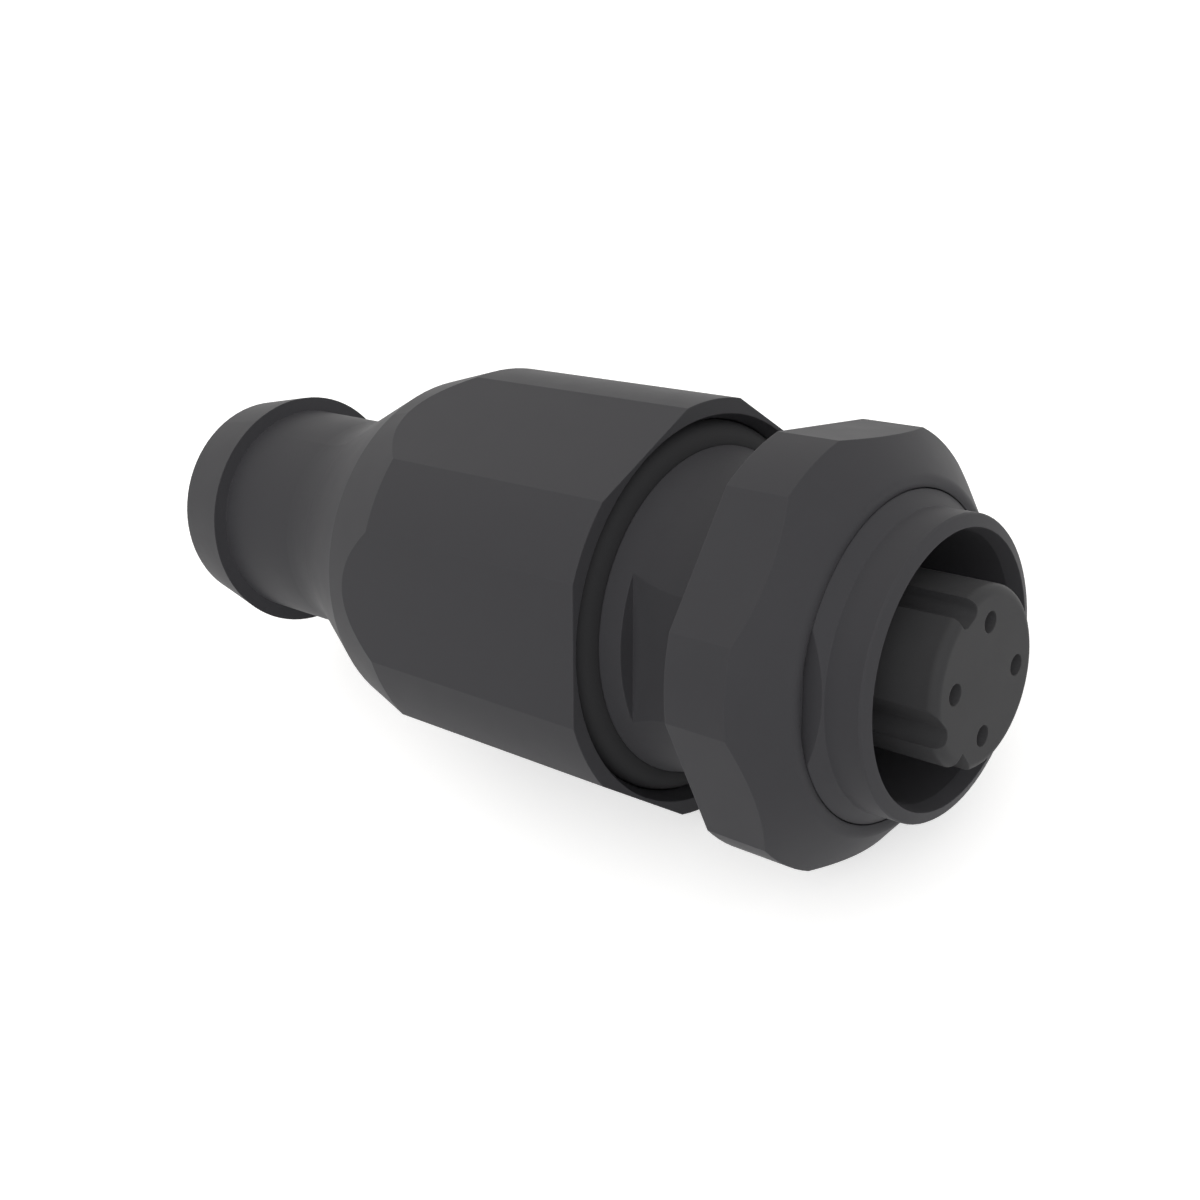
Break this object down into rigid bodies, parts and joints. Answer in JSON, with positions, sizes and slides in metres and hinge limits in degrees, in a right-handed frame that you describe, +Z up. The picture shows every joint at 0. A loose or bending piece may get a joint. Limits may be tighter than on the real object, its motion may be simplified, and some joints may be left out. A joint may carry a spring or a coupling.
{
  "type": "female cable connector",
  "caption": "Round female cable connector with socket contacts in a keyed insert, a spring-loaded hexagonal release ring and a hexagonal backshell with a necked cable outlet.",
  "frame": {"origin": "on the connector's axis, in the plane where the nose's outer cylinder ends and its bevelled rim starts", "axes": "+X along the connector's axis to the mating side, +Z up with one flat of the backshell facing down"},
  "size_m": [0.049, 0.02, 0.02],
  "materials": {
    "shell_plastic": "moulded glass-filled plastic, satin, dark grey",
    "insert_plastic": "moulded insulator, fine matt, dark grey",
    "clamp_plastic": "moulded plastic, matt, dark grey",
    "seal_rubber": "moulded rubber, dull dark grey",
    "contact_plating": "turned brass with thin gold plating",
    "spring_steel": "rolled spring steel, oiled"
  },
  "bodies": {
    "front": {"front_sleeve": "shell_plastic", "shell_seal": "seal_rubber", "contact_insert": "insert_plastic", "contact_carrier": "insert_plastic", "socket_contact_1": "contact_plating", "socket_contact_2": "contact_plating", "socket_contact_3": "contact_plating", "socket_contact_4": "contact_plating", "insert_retainer": "clamp_plastic", "insert_seal": "seal_rubber", "face_seal": "seal_rubber", "wave_spring": "spring_steel", "seat_washer": "spring_steel", "sleeve_circlip": "spring_steel"},
    "ring": {"release_ring": "shell_plastic", "ring_retainer": "spring_steel"},
    "clamp": {"spacer_tube": "clamp_plastic", "cable_seal": "seal_rubber", "thrust_ring": "clamp_plastic", "clamp_cage": "clamp_plastic"},
    "rear": {"backshell": "shell_plastic"}
  },
  "joints": [
    {"name": "ring_slide", "type": "slide", "parent": "front", "child": "ring", "axis": [-1, 0, 0], "range_m": [0, 0.0022], "stiffness_N_per_m": 1500, "springref_m": -0.002, "deforming": ["wave_spring"]},
    {"name": "backshell_travel", "type": "slide", "parent": "front", "child": "clamp", "axis": [-1, 0, 0], "range_m": [0, 0.006]},
    {"name": "backshell_turn", "type": "hinge", "parent": "clamp", "child": "rear", "pos_m": [0, 0, 0], "axis": [-1, 0, 0], "range_deg": [0, 2160]}
  ],
  "couplings": [
    {"joint": "backshell_travel", "follows": "backshell_turn", "m_per_rad": 0.00015915}
  ]
}
